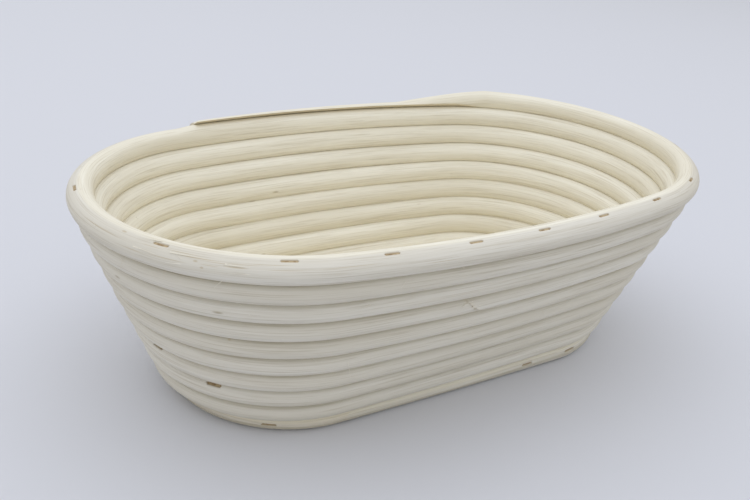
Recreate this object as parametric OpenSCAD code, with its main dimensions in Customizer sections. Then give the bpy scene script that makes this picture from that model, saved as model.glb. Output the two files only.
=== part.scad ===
// Oval proofing basket for bread dough, wound from round cane and stapled turn to turn.
// Sizes are in millimetres. The origin is at the middle of the underside, with +X along
// the basket, +Y to the back and +Z up. A place on the winding is given in turns: turn 0
// is the start beside the core, whole turns are at the middle of the front, and the
// count grows outward over the base and then up the wall.

/* [Basket] */
// Length over the rim
rim_length = 250; // [220:1:320]
// Width over the rim
rim_width = 150; // [130:1:190]
// Turns round the core that make the flat base
base_turns = 4; // [3:1:5]
// Turns of the wall, counted at the middle of the front
wall_turns = 9; // [6:1:11]
// Bow of the long sides at the rim
rim_bow = 5; // [1:0.5:6]

/* [Cane] */
// Thickness of the cane
cane_d = 7.9; // [6.5:0.1:8.5]
// Free gap between neighbouring turns
turn_gap = 0.6; // [0.55:0.05:1]
// Length of the slanted joints between two canes
scarf_length = 18; // [12:1:24]
// Length over which the rim's end tapers
taper_length = 145; // [100:5:180]
// Length of the steep first part of the taper
steep_length = 45; // [30:5:60]
// Thickness of the rim's end where the steep part stops
strip_thickness = 3.9; // [3:0.1:5]
// Thickness of the rim's end at its tip
tip_thickness = 2.8; // [2:0.1:3]

/* [Staples] */
// Staples in one turn, with a half left over so that each turn is staggered on the last
staples_per_turn = 18.5; // [14.5:1:20.5]
// Staples that a long side has more than an even spacing gives it, from its middle to an end
side_crowding = 0.65; // [0:0.05:0.8]
// Length of a staple's crown
crown_length = 5.6; // [5:0.1:8]
// Length of a staple's legs
leg_length = 12; // [10:0.5:13]
// Width of the flat staple wire
wire_width = 1.2; // [0.8:0.1:1.6]
// Thickness of the flat staple wire
wire_thickness = 0.6; // [0.4:0.1:0.8]
// Depth of the crown below the cane's surface
staple_sink = 0.4; // [0.3:0.1:1.2]

/* [Hidden] */
wall_rows = [for (row = [1 : wall_turns - 1]) str("wall_staples_", row)];

cane_colour = [0.86, 0.82, 0.71];
core_colour = [0.82, 0.77, 0.64];
staple_colour = [0.56, 0.46, 0.36];

// The cane has eight flat sides, and rings of them follow the winding
sides = 8;
cane_half = cane_d / 2;
corner_radius = cane_half / cos(180 / sides);
end_steps = 10;
side_steps = 6;
turn_steps = 2 * (end_steps + side_steps);
half_turn = 1 / 2;
quarter_turn = 1 / 4;

// The turns lie one pitch apart, and a bit more where the wall climbs on to the base
pitch = cane_d + turn_gap;
foot_room = 0.4;
flat_cut = cane_d / 10;
core_side = pitch * quarter_turn;
first_offset = pitch - core_side;
base_offset = first_offset + base_turns * pitch;

// The wall's lean takes the winding from the base's width to the rim's, measured from the
// top turn's front to its back, half a turn further up
rim_offset = rim_width / 2 - corner_radius;
wall_lean = asin((rim_offset - base_offset) / ((wall_turns + quarter_turn) * pitch));
winding_shift = -pitch * sin(wall_lean) * quarter_turn;

// The straight core makes up the rest of the rim's length beyond its two ends
top_turn = base_turns + wall_turns;
rim_end_offset = (row_middle(top_turn - quarter_turn)[0] + row_middle(top_turn + quarter_turn)[0]) / 2;
straight_half = rim_length / 2 - corner_radius - rim_end_offset;
core_inset = 2;
least_bow = 0.3;

// Turns from the end of the base, or from the top of the wall, to the joints and the rim's tip
base_joint_lead = 0.07;
lower_joint_rise = 2.5;
middle_joint_drop = 3.015;
rim_tip_rise = 0.584;

// Places along the winding
core_place = -side_steps / 2 / turn_steps;
base_joint = base_turns - base_joint_lead;
lower_joint = base_turns + lower_joint_rise;
middle_joint = top_turn - middle_joint_drop;
rim_end = top_turn + rim_tip_rise;

// Length of whole cane behind a slanted end, and the steps that a ring keeps from the next
slant_room = 2;
ring_room = 0.3;

// The staples: their play in the slots, the cane left round one at a joint and at the rim's
// tip, the count at which one sits near the middle of the front, and the reach of a slot
staple_fit = 0.05;
joint_wall = 1;
tip_wall = 1.5;
front_staple = 0.15;
slot_reach = 0.03;
end_staples_from = base_turns - half_turn;

// Two staples driven into the grooves from outside: turns above the base, and how far out of
// the cane's middle and how steeply they sit
outside_staple_rises = [1.81, 2.81];
outside_staple_out = 2.2;
outside_staple_tilt = 20;

// Bow of the long sides at a place, from nearly straight at the base
function bow(turn) = least_bow
    + (rim_bow - least_bow) * min(1, max(0, (turn - base_turns) / wall_turns));

// Centres of the end arcs and of the side arcs of the oval at a place
function end_centre(turn) = straight_half + bow(turn);
function side_centre(turn) = (end_centre(turn) ^ 2 - bow(turn) ^ 2) / (2 * bow(turn));

// Half the angle of an end arc
function end_angle(turn) = atan2(side_centre(turn), end_centre(turn));

// Value at a place, from the values at the ends of the right bend and of the left bend
function round_turn(turn, front, right, left, home) = let (side = side_steps / 2)
    lookup((turn - floor(turn)) * turn_steps, [
        [0, front],
        [side, right[0]],
        [side + end_steps, right[1]],
        [3 * side + end_steps, left[0]],
        [3 * side + 2 * end_steps, left[1]],
        [turn_steps, home]]);

// Direction that the oval faces at a place, from -90 degrees at the middle of the front
function facing(turn) = let (half = end_angle(turn))
    round_turn(turn, -90, [-half, half], [180 - half, 180 + half], 270);

// Pitches that the winding has moved out at a place, half of one in each end bend
function moved_out(turn) = floor(turn) + round_turn(turn, 0, [0, half_turn], [half_turn, 1], 1);

// Point of the oval at an offset from its straight core
function oval_point(turn, offset) =
    let (angle = facing(turn), out = [cos(angle), sin(angle)])
    [winding_shift, winding_shift] + (abs(out.x) > cos(end_angle(turn))
        ? [sign(out.x) * end_centre(turn), 0] + (offset - bow(turn)) * out
        : [0, -sign(out.y) * side_centre(turn)] + (offset + side_centre(turn)) * out);

// Share of the climb from the base on to the wall
function climb(turn) = min(1, max(0, turn - base_turns));

// Lean of the line from the turn below: 90 degrees in the flat base
function lean(turn) = 90 + (wall_lean - 90) * climb(turn);

// Offset and height of a turn's middle, each turn set on the one before it
function row_middle(turn) = turn <= base_turns
    ? [first_offset + pitch * moved_out(turn), cane_half - flat_cut]
    : row_middle(turn - 1) + (pitch + foot_room * sin(180 * climb(turn)))
        * [sin(lean(turn)), cos(lean(turn))];

// Millimetres along the winding per turn at a place
function run(turn, step = 0.002) =
    norm(oval_point(turn + step, row_middle(turn + step)[0])
        - oval_point(turn - step, row_middle(turn - step)[0])) / (2 * step);

taper_start = rim_end - taper_length / run(top_turn + half_turn);
steep_end = taper_start + steep_length / run(top_turn + half_turn);

// Share of the cane's thickness that is left at a place
function left_share(turn) = lookup(turn, [
    [taper_start, 1],
    [steep_end, strip_thickness / cane_d],
    [rim_end, tip_thickness / cane_d]]);

// Height of a cane's upper side above its middle, along the line from the turn below
function upper_side(turn) = cane_d * left_share(turn) - cane_half;

// Point at a place, measured across the cane and up it, no lower than the table
function winding_point(turn, across, up) =
    let (middle = row_middle(turn), angle = facing(turn), tilt = lean(turn),
        out = across * cos(tilt) + up * sin(tilt),
        flat = oval_point(turn, middle[0]) + out * [cos(angle), sin(angle)])
    [flat.x, flat.y, max(0, middle[1] - across * sin(tilt) + up * cos(tilt))];

// Corner of the cane's section: distance across it and up it
function corner(side) = let (angle = (2 * side + 1) * 180 / sides)
    corner_radius * [cos(angle), sin(angle)];

// Ring of corners at a place, slanted along the cane by a length from low side to high side
function ring(turn, slant = 0) = [for (side = [0 : sides - 1])
    let (at = corner(side), place = turn + slant * at[1] / cane_d / run(turn))
    winding_point(place, at[0], (at[1] + cane_half) * left_share(place) - cane_half)];

// Turns from a slanted end to the first whole ring behind it
function end_reach(turn, slant) = slant == 0 ? 0 : (abs(slant) / 2 + slant_room) / run(turn);

// Places of the rings between two ends
function ring_places(from, to, from_slant, to_slant) =
    let (first = from + end_reach(from, from_slant), last = to - end_reach(to, to_slant))
    concat(from_slant == 0 ? [] : [first],
        [for (step = [ceil(first * turn_steps + ring_room) : floor(last * turn_steps - ring_room)])
            step / turn_steps],
        to_slant == 0 ? [] : [last]);

// Triangles of a tube of rings, with both ends closed
function tube_faces(rings) = let (last = (rings - 1) * sides) concat(
    [for (row = [0 : rings - 2], side = [0 : sides - 1])
        let (here = row * sides + side, next = row * sides + (side + 1) % sides)
        each [[here, next, next + sides], [here, next + sides, here + sides]]],
    [for (side = [1 : sides - 2]) each [[0, side + 1, side], [last, last + side, last + side + 1]]]);

// One unbroken cane between two places
module cane(from, to, from_slant, to_slant) {
    rings = concat([ring(from, from_slant)],
        [for (place = ring_places(from, to, from_slant, to_slant)) ring(place)],
        [ring(to, to_slant)]);
    polyhedron([for (one = rings) each one], tube_faces(len(rings)));
}

// Staples from the front of the top turn to a place. They are closer on the two long sides
// than round the two ends.
function more_on_sides(turn) = side_crowding * sin(2 * 360 * turn);
function staple_count(turn) = staples_per_turn * (turn - top_turn) + more_on_sides(turn);

// Place of a staple from its count, found by trying again with each better place
function staple_turn(count, tries = 16) = let (place = top_turn + count / staples_per_turn)
    tries == 0 ? place : place - more_on_sides(staple_turn(count, tries - 1)) / staples_per_turn;

// Places of the staples between two places. The tight bends of the inner base turns hold
// none, and none goes through a slanted joint or past the rim's tip.
last_staple = rim_end - (crown_length / 2 + tip_wall) / run(top_turn + half_turn);
joint_room = (scarf_length + crown_length) / 2 + joint_wall;
function on_long_side(turn) = abs(cos(facing(turn))) < cos(end_angle(turn));
function clear_of_joints(turn) = run(turn) * min([for (joint = [base_joint, lower_joint, middle_joint])
    min(abs(turn - joint), abs(turn - 1 - joint))]) > joint_room;
function has_staple(turn) = turn > 0 && turn <= last_staple && clear_of_joints(turn)
    && (turn > end_staples_from || on_long_side(turn));
function staple_places(from, to) = [for (count = [ceil(staple_count(from) - front_staple)
        : floor(staple_count(to) - front_staple)])
    let (turn = staple_turn(count + front_staple))
    if (has_staple(turn)) turn];

// Place midway between two staples, for one driven from outside
function between_staples(turn) =
    staple_turn(floor(staple_count(turn) - front_staple) + front_staple + 1 / 2);
outside_places = [for (rise = outside_staple_rises) between_staples(base_turns + rise)];

// Moves a shape to a place: +X along the cane, +Y out of it against the turn below
module at_place(turn, out = 0, tilt = 0) {
    angle = facing(turn);
    lie = lean(turn) + tilt;
    origin = winding_point(turn, out, upper_side(turn) - staple_sink - out * sin(tilt));
    along = [-sin(angle), cos(angle), 0];
    up = [sin(lie) * cos(angle), sin(lie) * sin(angle), cos(lie)];
    side = cross(along, up);
    multmatrix([for (axis = [0 : 2]) [along[axis], up[axis], side[axis], origin[axis]]])
        children();
}

// One staple, its crown's top at the origin and its legs down -Y, grown by a fit and
// raised by the depth of the recess over it where it is a slot
module staple(fit = 0, recess = 0) {
    half = crown_length / 2 + fit;
    inner = crown_length / 2 - wire_thickness - fit;
    foot = -leg_length - fit;
    linear_extrude(height = wire_width + 2 * fit, center = true)
        polygon([[-half, recess], [half, recess], [half, foot], [inner, foot], [inner, -wire_thickness],
            [-inner, -wire_thickness], [-inner, foot], [-half, foot]]);
}

module staples(from, to) {
    for (turn = staple_places(from, to))
        at_place(turn) staple();
}

// Slots that the staples fill in the cane between two places, from this turn and the next
module staple_slots(from, to) {
    recess = staple_sink + turn_gap / 2;
    for (turn = staple_places(from - slot_reach, to + 1 + slot_reach))
        at_place(turn) staple(staple_fit, recess);
    for (turn = outside_places)
        at_place(turn, outside_staple_out, outside_staple_tilt) staple(staple_fit, 2 * recess);
}

// Straight cane in the middle of the base
module core_cane() color(core_colour) {
    half = straight_half - core_inset;
    rings = [for (x = [-half, half]) [for (side = [0 : sides - 1])
        let (at = corner(side))
        [x + winding_shift, core_side + winding_shift + at[0], max(0, cane_half - flat_cut + at[1])]]];
    difference() {
        polyhedron([for (one = rings) each one], tube_faces(2));
        staple_slots(0, 0);
    }
}

// Flat spiral of the base
module base_cane() color(cane_colour) difference() {
    cane(core_place, base_joint, 0, -scarf_length);
    staple_slots(core_place, base_joint);
}

// Wall from the base's outer turn up to the joint at the back
module lower_wall_cane() color(cane_colour) difference() {
    cane(base_joint, lower_joint, -scarf_length, -scarf_length);
    staple_slots(base_joint, lower_joint);
}

// Wall up to the joint in the front
module middle_wall_cane() color(cane_colour) difference() {
    cane(lower_joint, middle_joint, -scarf_length, -scarf_length);
    staple_slots(lower_joint, middle_joint);
}

// Top of the wall, ending in the long taper at the back of the rim
module rim_cane() color(cane_colour) difference() {
    cane(middle_joint, rim_end, -scarf_length, 0);
    staple_slots(middle_joint, rim_end);
}

// Staples of the base and of the first turn that climbs from it
module base_staples() color(staple_colour)
    staples(0, rim_end - wall_turns);

// Staples of one turn of the wall, counted up from the base
module wall_staples(row) color(staple_colour)
    staples(rim_end - wall_turns + row - 1, rim_end - wall_turns + row);

// Staples of the top turn
module rim_staples() color(staple_colour)
    staples(rim_end - 1, rim_end);

// Two staples driven into the grooves from outside at the left end
module outside_staples() color(staple_colour)
    for (turn = outside_places)
        at_place(turn, outside_staple_out, outside_staple_tilt) staple();

// Least distance between the corners of neighbouring turns
function turn_distance(turn) = min([for (low = ring(turn), high = ring(turn + 1)) norm(high - low)]);
function least_gap() = min([for (turn = [core_place : 1 / turn_steps : rim_end - 1]) turn_distance(turn)]);

echo(least_gap = least_gap(), wall_lean = wall_lean, straight_half = straight_half,
        rim_top = row_middle(taper_start)[1] + cane_half);
core_cane();
base_cane();
lower_wall_cane();
middle_wall_cane();
rim_cane();
base_staples();
outside_staples();
for (row = [1 : wall_turns - 1])
    wall_staples(row);
rim_staples();
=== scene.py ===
# %% [markdown]
# An oval bread-proofing basket, wound from round cane. One pale cane lies straight in the
# middle of the base, and longer canes go round and round it, first flat and then up a leaning
# wall. Staples hold each turn to the turn below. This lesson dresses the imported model: the
# frame gives its solids, and the same winding is worked out again to carry rounder canes with
# fibres, recesses and a finish.

import bpy
import numpy as np
from mathutils import Matrix, Vector


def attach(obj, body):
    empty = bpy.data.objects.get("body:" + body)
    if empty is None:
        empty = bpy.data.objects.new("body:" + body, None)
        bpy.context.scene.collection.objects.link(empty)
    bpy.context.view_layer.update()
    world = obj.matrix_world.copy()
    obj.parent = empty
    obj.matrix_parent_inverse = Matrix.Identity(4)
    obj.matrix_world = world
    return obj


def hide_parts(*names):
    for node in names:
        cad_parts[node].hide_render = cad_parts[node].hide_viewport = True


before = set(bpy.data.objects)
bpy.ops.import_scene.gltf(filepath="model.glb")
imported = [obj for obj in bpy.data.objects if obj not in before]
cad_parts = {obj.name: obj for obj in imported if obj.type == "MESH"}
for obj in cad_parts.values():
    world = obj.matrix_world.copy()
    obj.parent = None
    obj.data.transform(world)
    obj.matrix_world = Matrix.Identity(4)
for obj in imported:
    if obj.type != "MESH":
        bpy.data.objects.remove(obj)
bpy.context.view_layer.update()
MM = 0.001
print("nodes", len(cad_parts))

# %% [markdown]
# The camera looks down into the basket from the front left, a little rolled, as a hand-held
# camera is. A tracking constraint could aim it, but would keep it level. Its direction,
# distance and focal length were solved from the lines of the turns, so they are written as
# real angles and lengths, and a matrix of its right, up and back directions places it.

# %% Camera
PHOTO_WIDTH = 750
SENSOR_WIDTH = 36
FOCAL_PIXELS = 890.25
AZIMUTH = np.radians(-33.9)
ELEVATION = np.radians(24.5)
ROLL = np.radians(5.38)
CAMERA_DISTANCE = 350 * MM
AIM_HEIGHT = 40 * MM
AIM_RIGHT = -9.95 * MM
AIM_UP = -1.67 * MM
NEAREST_SEEN = 10 * MM


def make_camera():
    """Places the camera at a distance back from the aim point, rolled about its own axis."""
    level_back = np.array([np.sin(AZIMUTH), -np.cos(AZIMUTH), 0])
    back = level_back * np.cos(ELEVATION) + [0, 0, np.sin(ELEVATION)]
    level = np.array([np.cos(AZIMUTH), np.sin(AZIMUTH), 0])
    upright = np.cross(back, level)
    place = AIM_RIGHT * level + AIM_UP * upright + CAMERA_DISTANCE * back + [0, 0, AIM_HEIGHT]
    right = np.cos(ROLL) * level + np.sin(ROLL) * upright
    up = np.cos(ROLL) * upright - np.sin(ROLL) * level
    turned = np.eye(4)
    turned[:3] = np.stack([right, up, back, place], 1)
    lens = bpy.data.cameras.new("camera")
    lens.sensor_width = SENSOR_WIDTH
    lens.lens = FOCAL_PIXELS / PHOTO_WIDTH * SENSOR_WIDTH
    lens.clip_start = NEAREST_SEEN
    camera = bpy.data.objects.new("camera", lens)
    camera.matrix_world = Matrix(turned.tolist())
    bpy.context.scene.collection.objects.link(camera)
    bpy.context.scene.camera = camera
    return place


print("camera at", np.round(make_camera() / MM, 1), "mm")

# %% [markdown]
# Everything on this basket follows one winding. A place on it is a number of turns: whole
# turns are at the middle of the front, and the count grows out over the base and up the
# wall. A curve drawn by hand could follow it roughly, but a closed formula keeps each turn
# exactly one pitch from the one below. First come the rows: how far each turn lies from the
# straight core, and how high.

# %% Rows of the winding
RIM_LENGTH = 250 * MM
RIM_WIDTH = 150 * MM
BASE_TURNS = 4
WALL_TURNS = 9
TOP_TURN = BASE_TURNS + WALL_TURNS
CANE_WIDTH = 7.9 * MM
CANE_HALF = CANE_WIDTH / 2
CORNER_RADIUS = CANE_HALF / np.cos(np.pi / 8)
TURN_GAP = 0.6 * MM
PITCH = CANE_WIDTH + TURN_GAP
FOOT_ROOM = 0.4 * MM
BOTTOM_FLAT = CANE_WIDTH / 10
FIRST_OFFSET = PITCH * 3 / 4
FIRST_HEIGHT = CANE_HALF - BOTTOM_FLAT
# From the front, in 32nds of a turn: half a side, a round end, a side, a round end, half a side.
BEND_ENDS = np.array([0, 3, 13, 19, 29, 32]) / 32
# The wall leans so far that the top turn, front and back together, has the rim's width.
lean_reach = RIM_WIDTH / 2 - CORNER_RADIUS - FIRST_OFFSET - BASE_TURNS * PITCH
WALL_LEAN = np.arcsin(lean_reach / ((WALL_TURNS + 1 / 4) * PITCH))


def around(turn, values):
    """Runs straight from value to value between the ends of the bends within one turn."""
    return np.interp(turn - np.floor(turn), BEND_ENDS, values)


def lean(turn):
    """Turns the stacking direction from flat, in the base, to the wall's lean in one turn."""
    return np.pi / 2 + (WALL_LEAN - np.pi / 2) * np.clip(turn - BASE_TURNS, 0, 1)


def row_gap(turn):
    """Distance from a turn to the one below: a pitch, and a little more where the wall climbs
    on to the base."""
    return PITCH + FOOT_ROOM * np.sin(np.pi * np.clip(turn - BASE_TURNS, 0, 1))


def row_middle(turn):
    """Offset from the straight core and height: a flat spiral that moves out by half a pitch
    on each round end, then one row gap per turn up along the lean."""
    rows_up = np.clip(np.ceil(turn - BASE_TURNS), 0, None)
    low = turn - rows_up
    offset = FIRST_OFFSET + PITCH * (np.floor(low) + around(low, [0, 0, 0.5, 0.5, 1, 1]))
    height = np.full(np.shape(turn), FIRST_HEIGHT)
    for row in range(1, WALL_TURNS + 2):
        here = low + row
        move = np.where(row <= rows_up, row_gap(here), 0)
        offset = offset + move * np.sin(lean(here))
        height = height + move * np.cos(lean(here))
    return offset, height


print("wall leans %.1f degrees, pitch %.1f mm" % (np.degrees(WALL_LEAN), PITCH / MM))

# %% [markdown]
# Seen from above, each turn is an oval of four arcs: two round ends, and two long sides with
# a slight bow that grows towards the rim. Beside its middle, each place gives three
# directions, along the cane, across it and up the wall. A curve object would work out its
# own, but these follow the wall's lean, so the section never twists.

# %% The oval
LEAST_BOW = 0.3 * MM
RIM_BOW = 5 * MM
# The top turn reaches further at the back and on the right, so the winding moves a little.
SHIFT = -PITCH * np.sin(WALL_LEAN) / 4
top_ends = row_middle(np.array([TOP_TURN - 1 / 4, TOP_TURN + 1 / 4]))[0]
STRAIGHT_HALF = RIM_LENGTH / 2 - CORNER_RADIUS - top_ends.mean()


def winding(turn):
    """Middle of the cane and its three directions (along, across, up) at each place: a point
    on an end arc or a side arc, at the row's offset along the direction that the oval faces."""
    offset, height = row_middle(turn)
    bow = LEAST_BOW + (RIM_BOW - LEAST_BOW) * np.clip((turn - BASE_TURNS) / WALL_TURNS, 0, 1)
    end_centre = STRAIGHT_HALF + bow
    side_centre = (end_centre ** 2 - bow ** 2) / (2 * bow)
    half = np.arctan2(side_centre, end_centre)
    square_on = np.radians(around(turn, [-90, 0, 0, 180, 180, 270]))
    facing = square_on + half * around(turn, [0, -1, 1, -1, 1, 0])
    out_x = np.cos(facing)
    out_y = np.sin(facing)
    on_end = np.abs(out_x) > np.cos(half)
    end_radius = offset - bow
    side_radius = offset + side_centre
    end_x = np.sign(out_x) * end_centre + end_radius * out_x
    side_y = side_radius * out_y - np.sign(out_y) * side_centre
    x = np.where(on_end, end_x, side_radius * out_x)
    y = np.where(on_end, end_radius * out_y, side_y)
    tilt = lean(turn)
    level = np.zeros_like(out_x)
    middle = np.stack([x + SHIFT, y + SHIFT, height], -1)
    along = np.stack([-out_y, out_x, level], -1)
    across = np.stack([np.cos(tilt) * out_x, np.cos(tilt) * out_y, -np.sin(tilt)], -1)
    up = np.stack([np.sin(tilt) * out_x, np.sin(tilt) * out_y, np.cos(tilt)], -1)
    return middle, along, across, up


print("straight part", round(2 * STRAIGHT_HALF / MM, 1), "mm")

# %% [markdown]
# Four canes lie end to end in the winding, and the last one ends in the rim at the back. Cane
# is cut by length and its grain runs by length, so a fine table of the winding turns places
# into lengths and back. Reading a table is quicker than working out the arcs' true lengths.

# %% Joints and lengths
BASE_JOINT = BASE_TURNS - 0.07
LOWER_JOINT = BASE_TURNS + 2.5
MIDDLE_JOINT = TOP_TURN - 3.015
RIM_END = TOP_TURN + 0.584
COIL_START = BEND_ENDS[3] - 1
TABLE_ROWS = 20001
places = np.linspace(COIL_START, RIM_END, TABLE_ROWS)
steps = np.linalg.norm(np.diff(winding(places)[0], axis=0), axis=1)
lengths = np.concatenate([[0], np.cumsum(steps)])


def length_at(turn):
    """Length of cane from the start of the winding to a place."""
    return np.interp(turn, places, lengths)


def turn_at(length):
    """Place at a length of cane from the start."""
    return np.interp(length, lengths, places)


print("cane %.2f m long in all" % lengths[-1])

# %% [markdown]
# Staples were driven through each turn into the one below, so most are buried. Those in the
# top of the rim show as short brown slots, and so do some low down where the wall climbs
# from the base, and two that were driven from outside. Their places could be read from the
# frame's meshes, but the rule that the winder follows is simpler: closer on the long sides
# than round the ends, and none at a joint.

# %% Staple places
STAPLES_PER_TURN = 18.5
SIDE_CROWDING = 0.65
FRONT_STAPLE = 0.15
CROWN_LENGTH = 5.6 * MM
SCARF_LENGTH = 18 * MM
JOINT_SPARE = 1 * MM
JOINT_ROOM = (SCARF_LENGTH + CROWN_LENGTH) / 2 + JOINT_SPARE
JOINTS = np.array([BASE_JOINT, LOWER_JOINT, MIDDLE_JOINT])
LOW_FROM = BASE_TURNS - 0.55
LOW_TO = BASE_TURNS + 0.75
LOW_SHOWN = [1, 3, 5, 7, 10, 11, 15, 17, 20]
OUTSIDE_RISES = np.array([1.81, 2.81])


def staple_count(turn):
    """Staples from the front of the top turn: an even count plus a wave, two to the turn."""
    return STAPLES_PER_TURN * (turn - TOP_TURN) + SIDE_CROWDING * np.sin(4 * np.pi * turn)


count_table = staple_count(places)


def staple_turn(count):
    """Place of a staple from its count, read backwards from the table of counts."""
    return np.interp(count, count_table, places)


whole_counts = np.arange(np.ceil(count_table[0]), count_table[-1])
staple_places = staple_turn(whole_counts + FRONT_STAPLE)
length_per_turn = np.interp(staple_places, places, np.gradient(lengths, places))
from_joints = np.abs(staple_places[:, None] - np.concatenate([JOINTS, JOINTS + 1]))
clear = from_joints.min(1) * length_per_turn > JOINT_ROOM
low_down = (staple_places > LOW_FROM) & (staple_places < LOW_TO)
rim_places = staple_places[clear & (staple_places > RIM_END - 1)]
slot_places = np.concatenate([staple_places[clear & low_down][LOW_SHOWN], rim_places])
# An outside staple lies half way between two buried ones.
counts_before = np.floor(staple_count(BASE_TURNS + OUTSIDE_RISES) - FRONT_STAPLE)
outside_places = staple_turn(counts_before + FRONT_STAPLE + 1 / 2)
print("slots", len(slot_places), "on the rim", len(rim_places))
print("outside", np.round(outside_places, 3))

# %% [markdown]
# The cane's own surface isn't smooth. It has soft ridges of fibre, slow swellings, and it
# wanders a little from side to side. Bump alone would leave the outline too clean, so these
# are in the mesh. Sums of sines with random rates never repeat, and one seed keeps them the
# same each time. Columns of points lie closer at the top, where recesses need them.

# %% Ridges and swellings
SEED = 7
COLUMNS = 52
TOP_CROWDING = 0.55
RIDGE_WAVES = 14
RIDGES_ROUND = (7, 34)
RIDGE_DRIFT = 9
RIDGE_HEIGHT = 0.056 * MM
SWELL_WAVES = 8
SWELL_RATES = (8, 60)
SWELL = 0.02
WANDER_WAVES = 6
WANDER_RATES = (10, 45)
WANDER = 0.22 * MM
random = np.random.default_rng(SEED)
column = np.arange(COLUMNS + 1) / COLUMNS * 2 * np.pi
section_angle = column + TOP_CROWDING * np.sin(column) - np.pi / 2
cosine = np.cos(section_angle)[None]
sine = np.sin(section_angle)[None]
ridge_counts = random.integers(*RIDGES_ROUND, RIDGE_WAVES)
ridge_phases = random.uniform(0, 2 * np.pi, RIDGE_WAVES)
ridge_drifts = random.normal(0, RIDGE_DRIFT, RIDGE_WAVES)
swell_rates = random.uniform(*SWELL_RATES, SWELL_WAVES)
swell_phases = random.uniform(0, 2 * np.pi, SWELL_WAVES)
wander_rates = random.uniform(*WANDER_RATES, WANDER_WAVES)
wander_phases = random.uniform(0, 2 * np.pi, WANDER_WAVES)


def fibre_ridges(length):
    """Mean of sines round the section, whose phases drift along the cane."""
    round_by = ridge_counts * section_angle[None, :, None] + ridge_phases
    return np.sin(round_by + ridge_drifts * length[:, None, None]).mean(2) * RIDGE_HEIGHT


def slow_waves(length, rates, phases):
    """Mean of slow sines along the cane, one value for each ring."""
    return np.sin(rates * length[:, None] + phases).mean(1)[:, None]


print("section of", COLUMNS, "columns,", RIDGE_WAVES, "waves of ridges")

# %% [markdown]
# In the basket the turns are pressed so hard together that no light comes between them. Each
# section is an ellipse, and where it meets the next turn it is cut flat, a touch past the
# plane between the two. It is fuller on the side of the hollow, where the grooves are
# shallower, and lower on the free top of the rim. Cloth or soft-body tools could press the
# turns, but cutting each section off is exact. A mask keeps how near a point is to a groove,
# for painted shade that darkens the cane there.

# %% The pressed section
VISIBLE_WIDE = 4.36 * MM
VISIBLE_HIGH = 4.38 * MM
INSIDE_HIGH = 4.85 * MM
FREE_HIGH = 3.95 * MM
PRESS = 0.15 * MM
BEND_ROOM = LEAST_BOW + 0.1 * MM
INSIDE_SHARPNESS = 2.5
OUTSIDE_SHARPNESS = 4
# Share of the way to the groove at which the painted shade begins.
PAINTED_SHADE_FROM = 0.70


def smooth(value):
    """The soft step 3x^2 - 2x^3 between 0 and 1."""
    value = np.clip(value, 0, 1)
    return value * value * (3 - 2 * value)


def inside_share(outward):
    """1 on the side that faces the hollow of the basket, 0 where outward is above 0."""
    return smooth(-INSIDE_SHARPNESS * outward)


outside = smooth(OUTSIDE_SHARPNESS * cosine)


def contact(turn):
    """Half the distance to the turn below, and a touch more: the cane is cut flat there."""
    return row_gap(turn) / 2 + PRESS


def round_section(length, lip, free):
    """Distances across and up: the ellipse (wide cos a, high sin a) with swellings and ridges.
    Upwards, where the cane is held, these are a third and a half as strong."""
    ridges = fibre_ridges(length)
    swelling = slow_waves(length, swell_rates, swell_phases) * SWELL + lip
    wander = slow_waves(length, wander_rates, wander_phases) * WANDER
    held = VISIBLE_HIGH + (INSIDE_HIGH - VISIBLE_HIGH) * inside_share(cosine)
    high = held + (FREE_HIGH - held) * free
    across_by = (VISIBLE_WIDE * (1 + swelling) + ridges) * cosine + wander
    return across_by, (high * (1 + swelling / 3) + ridges / 2) * sine


def press_turns(place, up_by, free):
    """Cuts the heights off at the turns below and above, and short of the centre of the
    tightest bend. Gives back as well how near each outer point is to a groove, the mask of
    the painted shade there."""
    ceiling = np.where(free > 0, VISIBLE_HIGH, contact(place + 1))
    up_by = np.clip(up_by, -contact(place), ceiling)
    # The mask of painted shade: how near each outer point is to the groove.
    nearness = (np.abs(up_by) / contact(place) - PAINTED_SHADE_FROM) / (1 - PAINTED_SHADE_FROM)
    painted_groove_shade = smooth(nearness) * outside * (1 - free)
    return np.maximum(up_by, BEND_ROOM - row_middle(place)[0]), painted_groove_shade


print("cane", round(2 * VISIBLE_WIDE / MM, 2), "mm across, pressed by", PRESS / MM, "mm")

# %% [markdown]
# A recess lies over each staple that shows. Booleans could cut them, but moving the points
# that are there keeps the mesh an even grid and gives the edges the softness of crushed
# fibre. Points over a crown sink to just below it, and extra rings stand at both ends.

# %% Recesses over the staples
RING_STEP = 1.5 * MM
SLOT_LENGTH = 4.9 * MM
SLOT_WIDTH = 0.65 * MM
SLOT_FLOOR = -0.15 * MM
SLOT_SOFT = 0.22 * MM
SLOT_ROUNDING = 0.25
SLOT_RINGS = np.linspace(-1.5, 1.5, 6) * SLOT_SOFT
STAPLE_SINK = 0.4 * MM


def ring_lengths(start, stop, slots):
    """Lengths of the rings: one every ring step, and more where a slot begins and ends."""
    count = int(np.ceil((stop - start) / RING_STEP))
    near = np.concatenate([SLOT_RINGS - SLOT_LENGTH / 2, SLOT_RINGS + SLOT_LENGTH / 2])
    extra = (length_at(slots)[:, None] + near).ravel()
    extra = extra[(extra > start) & (extra < stop)]
    return np.unique(np.concatenate([np.linspace(start, stop, count + 1), extra]))


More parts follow.
